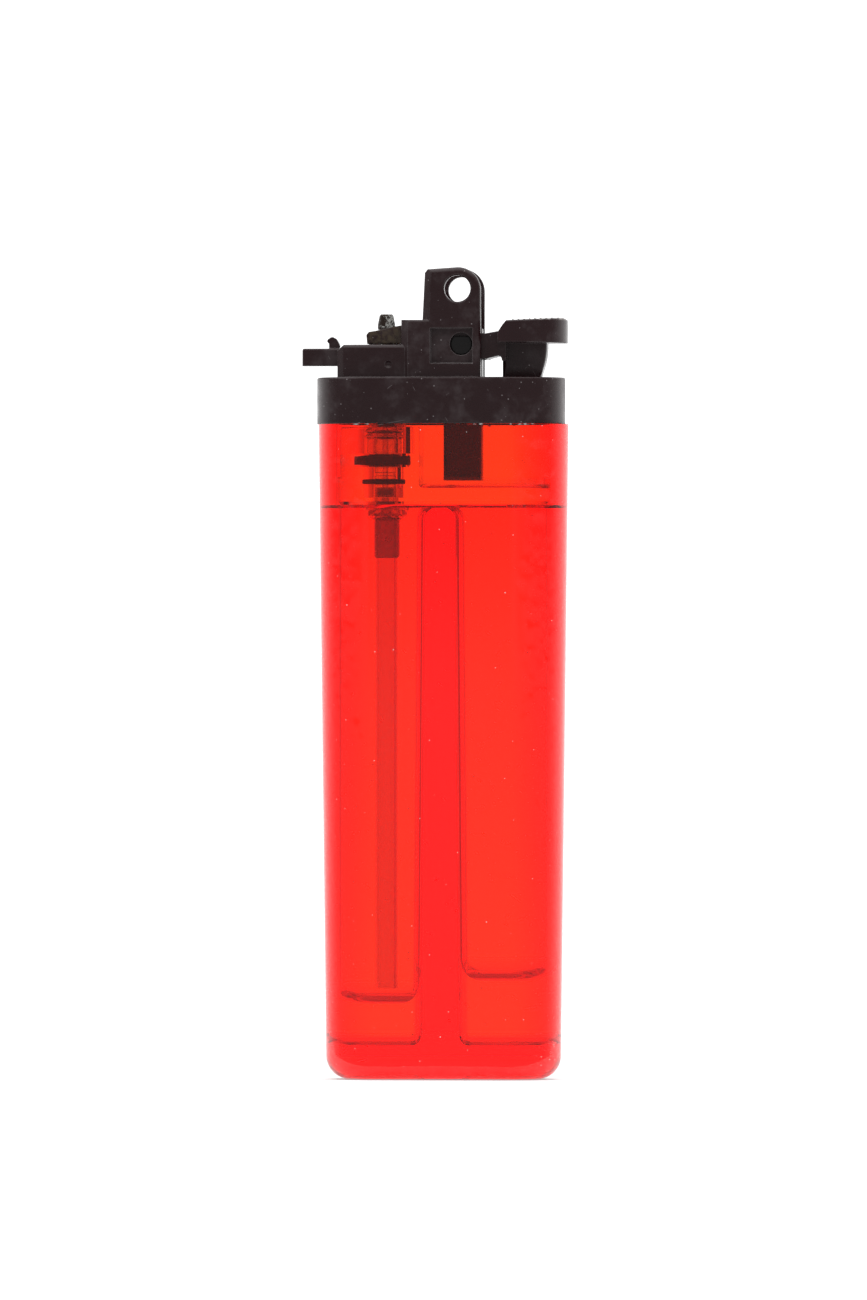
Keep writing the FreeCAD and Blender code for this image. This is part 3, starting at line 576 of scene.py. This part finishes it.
floorMesh = bpy.data.meshes.new("studioFloor")
floorShape = bmesh.new()
floorRadius = (stageLook["floorBack"] + stageLook["floorFront"]) / 2
bmesh.ops.create_circle(floorShape, cap_ends=True, segments=96, radius=floorRadius)
floorShape.to_mesh(floorMesh)
floorShape.free()
floor = bpy.data.objects.new("studioFloor", floorMesh)
floor.location = (0, floorRadius - stageLook["floorFront"], -stageLook["floorGap"])
bpy.context.scene.collection.objects.link(floor)
floor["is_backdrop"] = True
# matt white paper, lit from all round
paper, _, paperShader, _ = newMaterial("studioPaper")
paperShader.inputs["Base Color"].default_value = toLinear(stageLook["floor"])
paperShader.inputs["Roughness"].default_value = stageLook["floorRough"]
paperShader.inputs["Specular IOR Level"].default_value = 0.0
paperShader.inputs["Emission Color"].default_value = toLinear("#FFFFFF")
paperShader.inputs["Emission Strength"].default_value = stageLook["floorGlow"]
floorMesh.materials.append(paper)

# the light comes from the world alone: bright behind and above, dim in front
world = bpy.data.worlds.new("studioWhite")
bpy.context.scene.world = world
world.use_nodes = True
worldTree = world.node_tree
around = addNode(worldTree, "ShaderNodeTexCoord").outputs["Generated"]
axes = addNode(worldTree, "ShaderNodeSeparateXYZ", inputs={"Vector": around})
rays = addNode(worldTree, "ShaderNodeLightPath")
front = addNode(worldTree, "ShaderNodeMapRange", inputs={
    "Value": rays.outputs["Is Transmission Ray"],
    "To Min": stageLook["frontGrey"], "To Max": stageLook["throughGrey"]})
table = addNode(worldTree, "ShaderNodeMapRange", smooth, {
    "Value": axes.outputs["Z"], **rising(*stageLook["tableEdge"]),
    "To Min": stageLook["tableGrey"], "To Max": 0.0})
front = addNode(worldTree, "ShaderNodeMath", {"operation": "ADD"}, {0: front, 1: table})
room = addNode(worldTree, "ShaderNodeMapRange", smooth, {
    "Value": axes.outputs["Y"], **rising(*stageLook["backEdge"]),
    "To Min": front, "To Max": stageLook["backdrop"]})
overhead = addNode(worldTree, "ShaderNodeMapRange", smooth, {
    "Value": axes.outputs["Z"], **rising(*stageLook["topEdge"]), "To Max": stageLook["topLight"]})
brightest = addNode(worldTree, "ShaderNodeMath", larger, {0: room, 1: overhead})
# seen directly, the paper is burnt out to white
seen = addNode(worldTree, "ShaderNodeMath", larger, {0: brightest, 1: rays.outputs["Is Camera Ray"]})
background = worldTree.nodes["Background"]
background.inputs["Color"].default_value = toLinear("#FFFFFF")
worldTree.links.new(seen.outputs["Value"], background.inputs["Strength"])

cameraLook = {
    "lens": 400.0, "sensor": 36.0, "azimuth": 3.45,     # a long lens, a little round to the right
    "frameHeight": 125.6 * mm, "aimRight": -0.21 * mm, "aimUp": 2.25 * mm,
    "clipStart": 0.01, "clipEnd": 10.0,
}

low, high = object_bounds()
aim = (low + high) / 2 + Vector((cameraLook["aimRight"], 0, cameraLook["aimUp"]))
turn = math.radians(cameraLook["azimuth"])
away = Vector((math.sin(turn), -math.cos(turn), 0))
distance = cameraLook["frameHeight"] * cameraLook["lens"] / cameraLook["sensor"]
cameraData = bpy.data.cameras.new("studioCamera")
cameraData.lens = cameraLook["lens"]
cameraData.sensor_width = cameraLook["sensor"]
cameraData.clip_start, cameraData.clip_end = cameraLook["clipStart"], cameraLook["clipEnd"]
camera = bpy.data.objects.new("studioCamera", cameraData)
camera.location = aim + away * distance
camera.rotation_mode = "QUATERNION"
camera.rotation_quaternion = (-away).to_track_quat("-Z", "Y")
bpy.context.scene.collection.objects.link(camera)
scene = bpy.context.scene
scene.camera = camera
scene.view_settings.view_transform = "Standard"
# light crosses many clear walls, one inside another
scene.cycles.max_bounces = 32
scene.cycles.transmission_bounces = 32
scene.cycles.glossy_bounces = 16
scene.cycles.diffuse_bounces = 6
print("stage, light and camera set")
